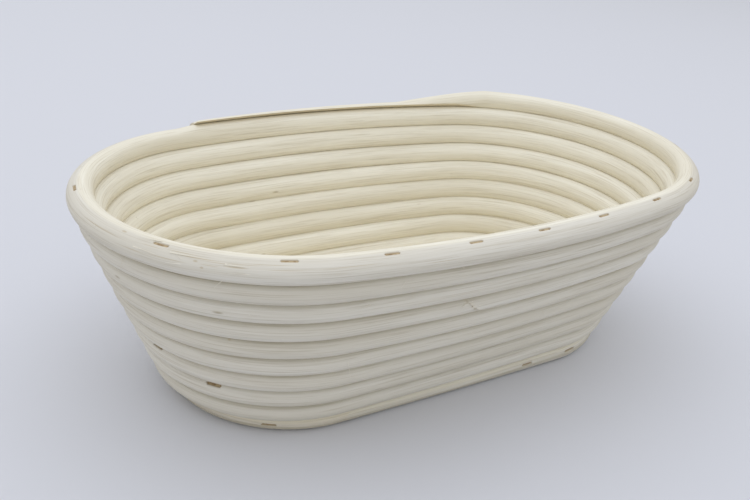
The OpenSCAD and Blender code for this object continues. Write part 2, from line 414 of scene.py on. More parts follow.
def press_slots(length, share, across_by, up_by, slots):
    """Lowers the points within each slot to just below the staple's crown, with soft edges.
    A slot is a place, a distance across and a tilt. Gives back how far each point is in one."""
    hollow = np.zeros_like(up_by)
    for place, aside, tilt in slots:
        lies = length_at(place)
        top = CANE_WIDTH * np.interp(lies, length, share[:, 0]) - CANE_HALF
        crown = top - STAPLE_SINK - aside * np.sin(tilt)
        rows = np.abs(length - lies) < CROWN_LENGTH
        to_side = across_by[rows] - aside
        to_top = up_by[rows] - crown
        beside = to_side * np.cos(tilt) - to_top * np.sin(tilt)
        deep = to_side * np.sin(tilt) + to_top * np.cos(tilt)
        rounded = 1 - SLOT_ROUNDING * np.clip(np.abs(beside) / SLOT_WIDTH, 0, 1)
        over = SLOT_LENGTH / 2 * rounded - np.abs(length[rows] - lies)[:, None]
        sides = smooth((SLOT_WIDTH / 2 + SLOT_SOFT - np.abs(beside)) / SLOT_SOFT)
        mask = smooth((over + SLOT_SOFT) / SLOT_SOFT) * sides * (deep > 0)
        sink = mask * np.maximum(deep - SLOT_FLOOR, 0)
        across_by[rows] -= sink * np.sin(tilt)
        up_by[rows] -= sink * np.cos(tilt)
        hollow[rows] = np.maximum(hollow[rows], mask)
    return hollow


print("recess", SLOT_LENGTH / MM, "mm long, ring every", RING_STEP / MM, "mm")

# %% [markdown]
# The rim's end is pared from inside and below to a thin strip that lies down on the turn
# under it: a steep part first, then a long thin one with a blunt nose. A scaled section
# would narrow too, and the real strip keeps its width and its round top. So points under a
# sloping cut rise to it, and all of them come down by what is cut away.

# %% The pared end of the rim
TAPER_LENGTH = 145 * MM
STEEP_LENGTH = 45 * MM
NOSE_LENGTH = 3 * MM
STRIP_SHARE = 2.7 / 7.9
TIP_SHARE = 1.7 / 7.9
NOSE_SHARE = 1.1 / 7.9
LOWERING = 8.1 * MM
STRIP_SEAT = -4.1 * MM
CUT_SLOPE = 0.2
CUT_SOFT = 0.25 * MM
SLOPE_ONSET = 4
STAIN_ONSET = 8


def share_left(length):
    """Share of the cane's height that is left towards the rim's end: all of it, then a steep
    fall to the strip, a slow one to the tip, and a blunt nose."""
    left = lengths[-1] - length
    return np.interp(left, [0, NOSE_LENGTH, TAPER_LENGTH - STEEP_LENGTH, TAPER_LENGTH],
                     [NOSE_SHARE, TIP_SHARE, STRIP_SHARE, 1])


def pare(length, across_by, up_by):
    """Cuts the rim's end to a strip: points under the sloping cut rise to it, and the strip
    comes down on to the turn below by what is cut away."""
    share = share_left(length)[:, None]
    lower = LOWERING * (1 - share)
    slope = CUT_SLOPE * smooth((1 - share) * SLOPE_ONSET)
    line = lower + STRIP_SEAT - slope * across_by
    pared = smooth((line - up_by) / CUT_SOFT) * smooth((1 - share) * STAIN_ONSET)
    return share, np.maximum(up_by, line) - lower, pared


print("strip", round(STRIP_SHARE * CANE_WIDTH / MM, 1), "mm thick")

# %% [markdown]
# Two canes meet in a long slanted cut, a little ragged where fibres tore, and one end stands
# slightly proud of the other. An end that is cut square and a painted line would do from far
# away, but the splice in the front wall catches the light. So near an end the points slide
# along the cane by their height on the section. With that, a cane's points are complete.

# %% Slanted ends and all points of a cane
SLIDE_HEIGHTS = [-1, -0.5, -0.25, 0.85, 1]
SLIDE_SHARES = [0.5, 0.4, -0.1, -0.42, -0.5]
RAG = 0.8 * MM
RAG_POINTS = 61
LIP = 0.05
LIP_POWER = 6
END_STAIN = 0.4
FREE_SOFT = 10 * MM


def joint_slide():
    """Slide of each column along the cane: steep across the face, then nearly along the lower
    edge, with a random ragged edge on the outside."""
    rag_angles = np.linspace(-np.pi / 2, 3 * np.pi / 2, RAG_POINTS)
    rag = np.interp(section_angle, rag_angles, random.normal(0, RAG, RAG_POINTS))
    return SCARF_LENGTH * np.interp(sine, SLIDE_HEIGHTS, SLIDE_SHARES) + rag * outside


def cane_points(length, slants, taper, slots):
    """Points of a cane, ring by ring: the pressed section set across and up from the middle,
    with the ends slid along the cane. Slants say which ends have a joint."""
    from_start = smooth(1 - (length - length[0]) / (2 * SCARF_LENGTH))[:, None] * slants[0]
    from_stop = smooth(1 - (length[-1] - length) / (2 * SCARF_LENGTH))[:, None] * slants[1]
    slide = (from_start + from_stop) * joint_slide()
    lip = LIP * (from_start ** LIP_POWER - from_stop ** LIP_POWER) * outside
    free = smooth((length - length_at(RIM_END - 1)) / FREE_SOFT)[:, None] * (sine > 0)
    across_by, up_by = round_section(length, lip, free)
    up_by, painted_groove_shade = press_turns(turn_at(length)[:, None], up_by, free)
    share = np.ones((len(length), 1))
    pared = np.zeros_like(up_by)
    if taper:
        share, up_by, pared = pare(length, across_by, up_by)
    pared[0] += END_STAIN * slants[0] * outside[0]
    pared[-1] += END_STAIN * slants[1] * outside[0]
    hollow = press_slots(length, share, across_by, up_by, slots)
    # The side of the hollow, where painted light makes the cane lighter.
    inner = np.broadcast_to(inside_share(cosine), up_by.shape)
    masks = {"hollow": hollow, "pared": pared, "painted_groove_shade": painted_groove_shade, "inner": inner}
    middle, along, across, up = winding(turn_at(length[:, None] + slide))
    return middle, across_by[..., None] * across + up_by[..., None] * up, masks


def settle(middle, offset):
    """Squeezes the part of a section below its middle so that it rests on the table."""
    reach = -offset[..., 2].min(1, keepdims=True)
    squeeze = np.minimum(1, middle[..., 2] / np.maximum(reach, 1e-9))
    offset[..., 2] *= np.where(offset[..., 2] < 0, squeeze, 1)
    return middle + offset


# %% [markdown]
# A grid of points becomes a closed mesh: each cell is a four-sided face, the last column
# meets the first, and a fan of triangles closes each end. The map runs along the cane in one
# direction and round it in the other, both in metres, so that grain keeps its true scale on
# every turn, which an unwrapped map wouldn't. Its seam lies at the bottom of the section,
# against the turn below.

# %% Faces and map of a tube
AROUND_SCALE = VISIBLE_WIDE


def tube_faces(rows, columns):
    """Quads between neighbouring rings, then a fan from each end ring to its middle point."""
    row, col = np.meshgrid(np.arange(rows - 1), np.arange(columns), indexing="ij")
    turned = (col + 1) % columns
    here = row * columns
    ahead = here + columns
    quads = np.stack([here + col, here + turned, ahead + turned, ahead + col], -1)
    ring = np.arange(columns)
    ring_next = (ring + 1) % columns
    last = (rows - 1) * columns
    start_fan = np.stack([ring_next, ring, np.full(columns, rows * columns)], -1)
    stop_fan = np.stack([last + ring, last + ring_next, np.full(columns, rows * columns + 1)], -1)
    return quads.reshape(-1, 4), np.concatenate([start_fan, stop_fan])


def tube_map(length):
    """Length along the cane and distance round it, at each corner of each face."""
    row, col = np.meshgrid(np.arange(len(length) - 1), np.arange(COLUMNS), indexing="ij")
    round_by = (section_angle + np.pi / 2) * AROUND_SCALE
    quad_u = np.stack([length[row], length[row], length[row + 1], length[row + 1]], -1)
    quad_v = np.stack([round_by[col], round_by[col + 1], round_by[col + 1], round_by[col]], -1)
    fan_v = np.stack([round_by[:-1], round_by[1:], round_by[:-1]], -1)
    parts = [np.stack([quad_u, quad_v], -1)]
    for end in (length[0], length[-1]):
        parts.append(np.stack([np.full(fan_v.shape, end), fan_v], -1))
    return np.concatenate([part.reshape(-1, 2) for part in parts])


def sharpen_ends(mesh, rows, columns):
    """Marks the edges of the first and the last ring as sharp, so that cut ends look cut."""
    edge_ends = np.empty(2 * len(mesh.edges), np.int32)
    mesh.edges.foreach_get("vertices", edge_ends)
    edge_ends = edge_ends.reshape(-1, 2)
    last = (rows - 1) * columns
    first_ring = (edge_ends < columns).all(1)
    last_ring = ((edge_ends >= last) & (edge_ends < rows * columns)).all(1)
    sharp = mesh.attributes.new("sharp_edge", "BOOLEAN", "EDGE")
    sharp.data.foreach_set("value", first_ring | last_ring)


print("map", round(2 * np.pi * AROUND_SCALE / MM, 1), "mm round the cane")

# %% [markdown]
# With the faces known, whole arrays go into the mesh at once, which is far quicker than
# adding corners one by one. The masks go along as attributes, for the finish to read. A
# finished piece stays at the origin, with its place in its mesh, and moves with the basket.

# %% A tube as an object


def put_in_scene(name, mesh):
    """Makes an object of a mesh, at the origin, that moves with the basket."""
    piece = bpy.data.objects.new(name, mesh)
    bpy.context.scene.collection.objects.link(piece)
    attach(piece, "root")
    return piece


def tube_object(name, points, length, masks):
    """Closed tube from rows of points whose last column repeats the first."""
    rows = len(points)
    ring = points[:, :-1].reshape(-1, 3)
    verts = np.concatenate([ring, points[:1, :-1].mean(1), points[-1:, :-1].mean(1)])
    quads, fans = tube_faces(rows, COLUMNS)
    loops = np.concatenate([quads.ravel(), fans.ravel()])
    sizes = np.concatenate([np.full(len(quads), 4), np.full(len(fans), 3)])
    starts = np.concatenate([[0], np.cumsum(sizes)[:-1]])
    mesh = bpy.data.meshes.new(name)
    mesh.vertices.add(len(verts))
    mesh.vertices.foreach_set("co", verts.astype(np.float32).ravel())
    mesh.loops.add(len(loops))
    mesh.loops.foreach_set("vertex_index", loops.astype(np.int32))
    mesh.polygons.add(len(sizes))
    mesh.polygons.foreach_set("loop_start", starts.astype(np.int32))
    mesh.polygons.foreach_set("use_smooth", np.ones(len(sizes), bool))
    uv_map = mesh.uv_layers.new(name="length")
    uv_map.data.foreach_set("uv", tube_map(length).astype(np.float32).ravel())
    for mask_name, mask in masks.items():
        values = np.concatenate([mask[:, :-1].ravel(), mask[[0, -1], 0]])
        attribute = mesh.attributes.new(mask_name, "FLOAT", "POINT")
        attribute.data.foreach_set("value", values.astype(np.float32))
    mesh.update(calc_edges=True)
    mesh.validate()
    sharpen_ends(mesh, rows, COLUMNS)
    return put_in_scene(name, mesh)


# %% [markdown]
# Four canes are wound one after the other: the flat base, two for the wall, and one for the
# top of the wall and the rim. One long tube would hide the joints, so each is a piece of its
# own, from joint to joint, with the recesses that lie on it, and stands for its plain solid.

# %% The four wound canes
OUTSIDE_ACROSS = 2.2 * MM
OUTSIDE_TILT = np.radians(20)


def between(turns, ends):
    """Those places that lie between two ends."""
    return turns[(turns > ends[0]) & (turns < ends[1])]


def cane_piece(name, node, ends, slants, taper=False):
    """One cane between two places of the winding, standing for a node of the frame."""
    from_above = between(slot_places, ends)
    from_outside = between(outside_places, ends)
    slots = [(place, 0, 0) for place in from_above]
    slots += [(place, OUTSIDE_ACROSS, OUTSIDE_TILT) for place in from_outside]
    both = np.concatenate([from_above, from_outside])
    length = ring_lengths(length_at(ends[0]), length_at(ends[1]), both)
    middle, offset, masks = cane_points(length, slants, taper, slots)
    piece = tube_object(name, settle(middle, offset), length, masks)
    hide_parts(node)
    print(name, "%.2f m," % (length[-1] - length[0]), len(piece.data.polygons), "faces")
    return piece


base_coil = cane_piece("base_coil", "base_cane", (COIL_START, BASE_JOINT), (0, 1))
lower_coil = cane_piece("lower_wall_coil", "lower_wall_cane", (BASE_JOINT, LOWER_JOINT), (1, 1))
middle_coil = cane_piece("middle_wall_coil", "middle_wall_cane", (LOWER_JOINT, MIDDLE_JOINT), (1, 1))
rim_coil = cane_piece("rim_coil", "rim_cane", (MIDDLE_JOINT, RIM_END), (1, 0), taper=True)

# %% [markdown]
# The winding starts from a straight core in the middle of the base. At its left end the cane
# is bent round on to the first turn, and its right end is rounded to fill the first bend. A
# straight piece needs no winding: the same section is moved along the basket's length.

# %% The straight core
CORE_NOSE = 3.6 * MM
NOSE_RINGS = 9


def core_piece():
    """Straight rod in the middle of the base. Past the straight part the width follows a
    circle of half a pitch, so that the end lies in the first bend."""
    x = np.linspace(-STRAIGHT_HALF, STRAIGHT_HALF + CORE_NOSE, int(2 * STRAIGHT_HALF / RING_STEP))
    x = np.unique(np.concatenate([x, STRAIGHT_HALF + np.linspace(0, CORE_NOSE, NOSE_RINGS)]))
    past = np.clip((x - STRAIGHT_HALF) / (PITCH / 2), 0, 1)[:, None]
    ridges = fibre_ridges(x + lengths[-1])
    swelling = slow_waves(x + lengths[-1], swell_rates, swell_phases) * SWELL
    wide = np.clip((VISIBLE_HIGH * (1 + swelling) + ridges) * cosine, -PITCH / 2, PITCH / 2)
    high = (VISIBLE_WIDE * (1 + swelling) + ridges) * sine
    zero = np.zeros_like(wide)
    middle = np.stack([x[:, None] + SHIFT + zero, PITCH / 4 + SHIFT + zero, FIRST_HEIGHT + zero], -1)
    narrowed = wide * np.sqrt(1 - past ** 2)
    points = settle(middle, np.stack([zero, narrowed, high], -1))
    # The core's top counts as the side of the hollow and gets its painted light.
    masks = {"hollow": zero, "pared": zero, "painted_groove_shade": zero, "inner": zero + inside_share(-sine)}
    piece = tube_object("core_rod", points, x, masks)
    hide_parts("core_cane")
    return piece


core_rod = core_piece()
print("core", len(core_rod.data.polygons), "faces")

# %% [markdown]
# The finishes are built from shader nodes. Placed by hand they make a wide tangle, and in
# code each one takes several lines. A few helpers, one for each kind of step, keep the
# finishes short enough to read as recipes.

# %% Helpers for shader nodes
STREAK_ROUGHNESS = 0.6


def add_node(tree, kind, inputs=None, **settings):
    """Adds a node, sets its options, and sets or links its inputs by name or number."""
    node = tree.nodes.new(kind)
    for name, value in settings.items():
        setattr(node, name, value)
    for name, value in (inputs or {}).items():
        if isinstance(value, bpy.types.NodeSocket):
            tree.links.new(value, node.inputs[name])
        else:
            node.inputs[name].default_value = value
    return node


def stretched(tree, vector, along, round_by, seed):
    """The map scaled less along the cane than round it, so that a pattern is drawn out."""
    moved = (seed, seed / 3, seed / 7)
    scaled = {"Vector": vector, "Location": moved, "Scale": (along, round_by, 1)}
    return add_node(tree, "ShaderNodeMapping", scaled).outputs[0]


def streaks(tree, vector, along, round_by, detail, seed):
    """Noise drawn out along the cane."""
    spread = stretched(tree, vector, along, round_by, seed)
    noise = {"Vector": spread, "Scale": 1.0, "Detail": detail, "Roughness": STREAK_ROUGHNESS}
    return add_node(tree, "ShaderNodeTexNoise", noise).outputs["Fac"]


def ramp(tree, value, low, high):
    """Runs softly from 0 at the low value to 1 at the high value."""
    limits = {"Value": value, "From Min": low, "From Max": high}
    return add_node(tree, "ShaderNodeMapRange", limits, interpolation_type="SMOOTHSTEP").outputs[0]


def spread_to(tree, value, low, high):
    """Turns a value between 0 and 1 into one between two others."""
    limits = {"Value": value, "To Min": low, "To Max": high}
    return add_node(tree, "ShaderNodeMapRange", limits).outputs[0]


def times(tree, first, second):
    """Product of two values."""
    return add_node(tree, "ShaderNodeMath", {0: first, 1: second}, operation="MULTIPLY").outputs[0]


def plus(tree, value, share, other):
    """A share of one value added to another."""
    terms = {0: value, 1: share, 2: other}
    return add_node(tree, "ShaderNodeMath", terms, operation="MULTIPLY_ADD").outputs[0]


def mix_colour(tree, share, first, second, way="MIX"):
    """Mixes two colours by a share, or multiplies the first by the second."""
    colours = {0: share, 6: first, 7: second}
    return add_node(tree, "ShaderNodeMix", colours, data_type="RGBA", blend_type=way).outputs[2]


def empty_material(name):
    """A material without nodes, and its tree."""
    material = bpy.data.materials.new(name)
    material.use_nodes = True
    material.node_tree.nodes.clear()
    return material, material.node_tree


print("helpers make noise, ramps, products, sums and mixes of colours")

# %% [markdown]
# Peeled cane shows fine lengthwise fibres: pale ridges with thin darker lines between them,
# slow changes of tone along its length, and here and there a dark pit where a leaf grew. The
# grain is a node group, because every cane and every loose fibre uses it with its own tones.
# A photograph of grain would repeat, while noise that is drawn out along the map doesn't, and
# it bends with each turn.

# %% Cane grain
# Each pattern: its scale along and round the cane, its detail and its seed.
FIBRE_STREAKS = (22, 1150, 4, 4.0)
HAIR_STREAKS = (45, 2600, 2, 19.0)
TONE_STREAKS = (7, 90, 2, 41.0)
LINE_STREAKS = (16, 640, 3, 63.0)
PIT_CELLS = (55, 190, 8.0)
# The values between which each pattern comes up.
FIBRE_FADE = (0.40, 0.66)
HAIR_FADE = (0.50, 0.68)
TONE_FADE = (0.3, 0.7)
LINE_FADE = (0.60, 0.72)
PIT_CHOICE = (0.90, 0.92)
PIT_FADE = (0.13, 0.05)
# How much of its colour each pattern lays on, and how far it rises or sinks.
FIBRE_SHARE = 0.7
HAIR_SHARE = 0.3
LINE_SHARE = 0.32
PIT_SHARE = 0.8
HAIR_RISE = 0.35
LINE_SINK = -0.45
PIT_SINK = -0.8
CANE_ROUGHNESS = (0.62, 0.88)


def pit_mask(tree, cane_map):
    """Small ovals in a few cells out of many: cells whose own random value is high."""
    spread = stretched(tree, cane_map, *PIT_CELLS)
    cells = add_node(tree, "ShaderNodeTexVoronoi", {"Vector": spread, "Scale": 1.0})
    chance = add_node(tree, "ShaderNodeSeparateColor", {0: cells.outputs["Color"]}).outputs[0]
    chosen = ramp(tree, chance, *PIT_CHOICE)
    return times(tree, chosen, ramp(tree, cells.outputs["Distance"], *PIT_FADE))


def grain_group():
    """Colour, roughness and height of fibre grain from a map in metres: tone, fibres, hairs,
    lines and pits, laid over each other."""
    tree = bpy.data.node_groups.new("cane_grain", "ShaderNodeTree")
    for name, kind in (("Map", "Vector"), ("Pale", "Color"), ("Deep", "Color"), ("Line", "Color")):
        tree.interface.new_socket(name, in_out="INPUT", socket_type="NodeSocket" + kind)
    for name, kind in (("Colour", "Color"), ("Roughness", "Float"), ("Height", "Float")):
        tree.interface.new_socket(name, in_out="OUTPUT", socket_type="NodeSocket" + kind)
    given = add_node(tree, "NodeGroupInput")
    cane_map, pale, deep, dark = [given.outputs[name] for name in ("Map", "Pale", "Deep", "Line")]
    fibre = streaks(tree, cane_map, *FIBRE_STREAKS)
    hair = streaks(tree, cane_map, *HAIR_STREAKS)
    tone = streaks(tree, cane_map, *TONE_STREAKS)
    lines = ramp(tree, streaks(tree, cane_map, *LINE_STREAKS), *LINE_FADE)
    pits = pit_mask(tree, cane_map)
    colour = mix_colour(tree, ramp(tree, tone, *TONE_FADE), pale, deep)
    colour = mix_colour(tree, times(tree, ramp(tree, fibre, *FIBRE_FADE), FIBRE_SHARE), colour, deep)
    colour = mix_colour(tree, times(tree, ramp(tree, hair, *HAIR_FADE), HAIR_SHARE), colour, dark)
    colour = mix_colour(tree, times(tree, lines, LINE_SHARE), colour, dark)
    colour = mix_colour(tree, times(tree, pits, PIT_SHARE), colour, dark)
    height = plus(tree, lines, LINE_SINK, plus(tree, hair, HAIR_RISE, fibre))
    add_node(tree, "NodeGroupOutput", {"Colour": colour,
                                       "Roughness": spread_to(tree, fibre, *CANE_ROUGHNESS),
                                       "Height": plus(tree, pits, PIT_SINK, height)})
    return tree


GRAIN = grain_group()
print("grain nodes", len(GRAIN.nodes))

# %% [markdown]
# The cane is bare and dull. The wall and the rim are bleached nearly white, and the base is a
# little warmer. The side of the hollow is painted lighter and a little warmer than the outside,
# as painted light, and the grooves between turns are painted darker, as painted shade. Recesses
# are brown from the wire, and the pared face shows the browner inside of the cane. All of these
# follow masks in the mesh, which fit the shape better than a painted picture would. A few brown
# marks are set one by one on the map.

# %% Cane finish
# Painted light: the side of the hollow is made lighter and a little warmer.
INSIDE_PAINTED_LIGHT = (1.145, 1.14, 1.09, 1)
# Painted shade, multiplied in near the grooves between turns.
GROOVE_PAINTED_SHADE_TONE = (0.78, 0.765, 0.70, 1)
MARK_BROWN = (0.50, 0.39, 0.22, 1)
MARK_SHARE = 0.5
MARK_FADE = (1.0, 0.3)
PARED_BROWN = (0.80, 0.71, 0.53, 1)
PARED_SHARE = 0.8
SLOT_BROWN = (0.46, 0.35, 0.20, 1)
CANE_BUMP = 0.14 * MM
CANE_GLOSS = 0.25


def spot(tree, where, turns_back, angle, half_long, half_round):
    """Share of an oval mark on the map: 1 inside, falling to 0 at its half sizes in mm. Its
    place is in turns before the top turn's front and degrees on the section."""
    size = np.array([half_long, half_round]) * MM
    round_by = np.radians(angle + 90) * AROUND_SCALE
    place = np.array([length_at(TOP_TURN - turns_back), round_by])
    centred = {"Vector": where, "Location": (*(-place / size), 0), "Scale": (*(1 / size), 0)}
    moved = add_node(tree, "ShaderNodeMapping", centred)
    away = add_node(tree, "ShaderNodeVectorMath", {0: moved.outputs[0]}, operation="LENGTH")
    return ramp(tree, away.outputs["Value"], *MARK_FADE)


def mask_value(tree, name):
    """A mask kept in the mesh."""
    return add_node(tree, "ShaderNodeAttribute", attribute_name=name).outputs["Fac"]


def cane_material(name, pale, deep, line, marks=()):
    """Bare cane: the grain's colour, with painted light on the side of the hollow and painted shade
    in the grooves, with single marks, and browner on the pared face and in the recesses."""
    material, tree = empty_material(name)
    where = add_node(tree, "ShaderNodeUVMap", uv_map="length").outputs[0]
    tones = {"Map": where, "Pale": pale, "Deep": deep, "Line": line}
    grain = add_node(tree, "ShaderNodeGroup", tones, node_tree=GRAIN)
    colour = grain.outputs["Colour"]
    # Painted light on the side of the hollow.
    colour = mix_colour(tree, mask_value(tree, "inner"), colour, INSIDE_PAINTED_LIGHT, "MULTIPLY")
    # Painted shade in the grooves between turns.
    colour = mix_colour(tree, mask_value(tree, "painted_groove_shade"), colour, GROOVE_PAINTED_SHADE_TONE, "MULTIPLY")
    for mark in marks:
        shown = times(tree, spot(tree, where, *mark), MARK_SHARE)
        colour = mix_colour(tree, shown, colour, MARK_BROWN)
    bared = times(tree, mask_value(tree, "pared"), PARED_SHARE)
    colour = mix_colour(tree, bared, colour, PARED_BROWN)
    colour = mix_colour(tree, mask_value(tree, "hollow"), colour, SLOT_BROWN)
    relief = {"Strength": 1.0, "Distance": CANE_BUMP, "Height": grain.outputs["Height"]}
    bump = add_node(tree, "ShaderNodeBump", relief)
    dull = {"Base Color": colour, "Roughness": grain.outputs["Roughness"],
            "Normal": bump.outputs[0], "Specular IOR Level": CANE_GLOSS}
    surface = add_node(tree, "ShaderNodeBsdfPrincipled", dull)
    add_node(tree, "ShaderNodeOutputMaterial", {"Surface": surface.outputs[0]})
    return material


print("grain", round(CANE_BUMP / MM, 2), "mm deep")

# %% [markdown]
# Each group of canes has three tones, pale, deep and line, from which its grain is mixed.
# One material with a random tone for each cane would be shorter, but then no tone could be
# set one by one. The marks sit on the rim's front left and on one turn of the wall: a few small
# knots, and thin dark lines where the skin of the cane has split.

# %% Tones and marks
WALL_TONES = ((0.795, 0.762, 0.675, 1), (0.70, 0.657, 0.555, 1), (0.43, 0.365, 0.25, 1))
BASE_TONES = ((0.80, 0.755, 0.655, 1), (0.70, 0.645, 0.53, 1), (0.42, 0.35, 0.23, 1))
# The loose fibres are paler than the wall: painted light, so that fibres seen from their shaded side
# still read pale.
FIBRE_TONES_PAINTED_LIGHT = ((0.90, 0.865, 0.76, 1), (0.84, 0.79, 0.66, 1), (0.62, 0.54, 0.38, 1))
# Turns before the top turn's front, degrees on the section, half length and half width in mm.
KNOTS = ((0.1618, 54, 0.9, 0.45), (0.1584, 33, 0.7, 0.45), (0.2046, 90, 1.4, 0.5),
         (4.1588, 58, 0.7, 0.5))
SPLITS = ((0.1620, 66, 10, 0.2), (0.1500, 60, 7, 0.16), (0.1430, 51, 4, 0.3),
          (0.1760, 40, 8, 0.18), (0.1280, 70, 9, 0.14), (0.0900, 55, 12, 0.14),
          (0.0500, 30, 9, 0.15), (0.2200, 60, 12, 0.16), (0.1850, 70, 5, 0.13),
          (0.1700, 76, 6, 0.12), (0.1550, 46, 4, 0.14), (0.1400, 64, 6, 0.13),
          (0.1200, 50, 7, 0.12), (0.1950, 34, 5, 0.13))
wall_finish = cane_material("wall_finish", *WALL_TONES, KNOTS + SPLITS)
# The fibres' finish has the grain with the paler tones of painted light.
fibre_grain_painted_light = cane_material("fibre_grain_painted_light", *FIBRE_TONES_PAINTED_LIGHT)
base_finish = cane_material("base_finish", *BASE_TONES)
for piece in (core_rod, base_coil):
    piece.data.materials.append(base_finish)
for piece in (lower_coil, middle_coil, rim_coil):
    piece.data.materials.append(wall_finish)
print("finishes", wall_finish.name, base_finish.name, fibre_grain_painted_light.name)

# %% [markdown]
# The staples are flat steel wire with a brownish lacquer. Their solids in the frame have the
# right shape, so most of them stay and only get a finish: dull tan metal with darker stains.
# The stains are noise on the object's own coordinates, because the solids have no map.

# %% Staple finish
STAIN_SCALE = 700.0
STAIN_DETAIL = 3.0
STAIN_FADE = (0.38, 0.68)
WIRE_TAN = (0.52, 0.41, 0.25, 1)
WIRE_STAIN = (0.30, 0.20, 0.10, 1)
WIRE_ROUGHNESS = (0.42, 0.75)
WIRE_BUMP = 0.05 * MM
WIRE_BUMP_STRENGTH = 0.3
WIRE_METALLIC = 0.4


def staple_material():
    """Tan lacquered wire, stained by noise over its surface."""
    material, tree = empty_material("staple_finish")
    where = add_node(tree, "ShaderNodeTexCoord").outputs["Object"]
    noise = {"Vector": where, "Scale": STAIN_SCALE, "Detail": STAIN_DETAIL}
    stain = add_node(tree, "ShaderNodeTexNoise", noise).outputs["Fac"]
    colour = mix_colour(tree, ramp(tree, stain, *STAIN_FADE), WIRE_TAN, WIRE_STAIN)
    relief = {"Strength": WIRE_BUMP_STRENGTH, "Distance": WIRE_BUMP, "Height": stain}
    bump = add_node(tree, "ShaderNodeBump", relief)
    lacquer = {"Base Color": colour, "Roughness": spread_to(tree, stain, *WIRE_ROUGHNESS),
               "Metallic": WIRE_METALLIC, "Normal": bump.outputs[0]}
    surface = add_node(tree, "ShaderNodeBsdfPrincipled", lacquer)
    add_node(tree, "ShaderNodeOutputMaterial", {"Surface": surface.outputs[0]})
    return material


staple_finish = staple_material()
staple_nodes = [node for name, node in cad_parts.items() if "staples" in name]
for node in staple_nodes:
    node.data.materials.clear()
    node.data.materials.append(staple_finish)
print("staple nodes", len(staple_nodes))

# %% [markdown]
# In the rim the staples lie at the bottom of their recesses. The pared strip made here is
# thinner than in the solids, so the rim's staples are made again, at the height of the cane
# that is left. Moving the solids would do too, but they are one mesh, and a U of flat wire is
# only sixteen corners.

# %% Staples of the rim
LEG_LENGTH = 12 * MM
WIRE_WIDTH = 1.2 * MM
WIRE_THICKNESS = 0.6 * MM


def wire_piece(name, node, turns):
    """Staples of flat wire: a U of two legs and a crown, its outer and inner corners carried
    straight across by the wire's width, each set at its place on the winding."""
    inset = np.array([0, WIRE_THICKNESS])[:, None]
    along_by = np.array([-1, -1, 1, 1]) * (CROWN_LENGTH / 2 - inset)
    outer_up = [-LEG_LENGTH, 0, 0, -LEG_LENGTH]
    inner_up = [-LEG_LENGTH, -WIRE_THICKNESS, -WIRE_THICKNESS, -LEG_LENGTH]
    up_by = np.array([outer_up, inner_up])
    across_by = np.array([-1, 1]) * WIRE_WIDTH / 2
    middle, along, across, up = (part[:, None, None, None] for part in winding(turns))
    crown = CANE_WIDTH * share_left(length_at(turns)) - CANE_HALF - STAPLE_SINK
    raised = up_by[None, None, ..., None] + crown[:, None, None, None, None]
    points = middle + along_by[None, None, ..., None] * along + raised * up
    points = points + across_by[None, :, None, None, None] * across
    step = np.arange(3)
    outer = np.stack([step, step + 1, step + 9, step + 8], -1)
    inner = np.stack([step + 4, step + 12, step + 13, step + 5], -1)
    near = np.stack([step, step + 4, step + 5, step + 1], -1)
    far = np.stack([step + 8, step + 9, step + 13, step + 12], -1)
    feet = np.array([[0, 8, 12, 4], [3, 7, 15, 11]])
    faces = np.concatenate([outer, inner, near, far, feet])
    first_corner = np.arange(len(turns))[:, None, None] * across_by.size * up_by.size
    mesh = bpy.data.meshes.new(name)
    mesh.from_pydata(points.reshape(-1, 3).tolist(), [], (first_corner + faces).reshape(-1, 4).tolist())
    mesh.update()
    piece = put_in_scene(name, mesh)
    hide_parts(node)
    return piece


rim_wires = wire_piece("rim_staple_wires", "rim_staples", rim_places)
rim_wires.data.materials.append(staple_finish)
print("rim staples", len(rim_places), "with", len(rim_wires.data.polygons), "faces")

# %% [markdown]
# Bare cane is hairy. Fine fibres lift off it, most of them along the edges of the turns, and
# on the front left of the rim some longer slivers have split away. A hair system could grow
# them, but it doesn't stay a mesh. So each one is a thin tube that starts inside the cane's
# surface, runs along or across it and lifts, thinner to its tip. All of them are one array:
# fibres, steps along each, corners round each step.

# %% Shape of a loose fibre
FIBRE_STEPS = 6
FIBRE_SIDES = 4
ROOT_DEPTH = 0.25 * MM
LIFT_POWER = 1.5
TIP_TAPER = 0.85


def lifted(turn, angle, heading, length, lift, curl, wide, thick):
    """Corners of fibres: from a point of the cane's surface each goes its length in a heading
    (0 is along the cane, a quarter turn is up it), rising by the lift and bending by the curl."""
    middle, along, across, up = winding(turn)
    normal = np.cos(angle)[:, None] * across + np.sin(angle)[:, None] * up
    climb = np.cross(normal, along)
    climb *= np.where(angle > np.pi / 2, -1, 1)[:, None]
    height = np.clip(VISIBLE_HIGH * np.sin(angle), -PITCH / 2, PITCH / 2)
    root = middle + (VISIBLE_WIDE * np.cos(angle))[:, None] * across + height[:, None] * up
    ahead = np.cos(heading)[:, None] * along + np.sin(heading)[:, None] * climb
    side = np.cross(normal, ahead)
    step = np.linspace(0, 1, FIBRE_STEPS)[None, :, None]
    long = length[:, None, None]
    rise = -ROOT_DEPTH + long * (lift[:, None, None] * step ** LIFT_POWER)
    bend = long * curl[:, None, None] * step ** 2
    line = root[:, None] + long * step * ahead[:, None]
    line = line + rise * normal[:, None] + bend * side[:, None]
    corner = np.arange(FIBRE_SIDES) / FIBRE_SIDES * 2 * np.pi
    thin = (1 - TIP_TAPER * step)[..., None]
    wide_by = (wide[:, None] * np.cos(corner))[:, None, :, None] * side[:, None, None]
    thick_by = (thick[:, None] * np.sin(corner))[:, None, :, None] * normal[:, None, None]
    return line[:, :, None] + thin * (wide_by + thick_by)


print("fibre", FIBRE_STEPS * FIBRE_SIDES, "corners")

# %% [markdown]
# Hundreds of fibres as hundreds of objects would be slow to handle, so all of them go into
# one mesh. The numbers of their faces come from one grid of fibre, step and side. Each fibre
# has its own stretch of the map, so that no two have the same grain.

# %% Mesh of the fibres
MAP_APART = 0.013


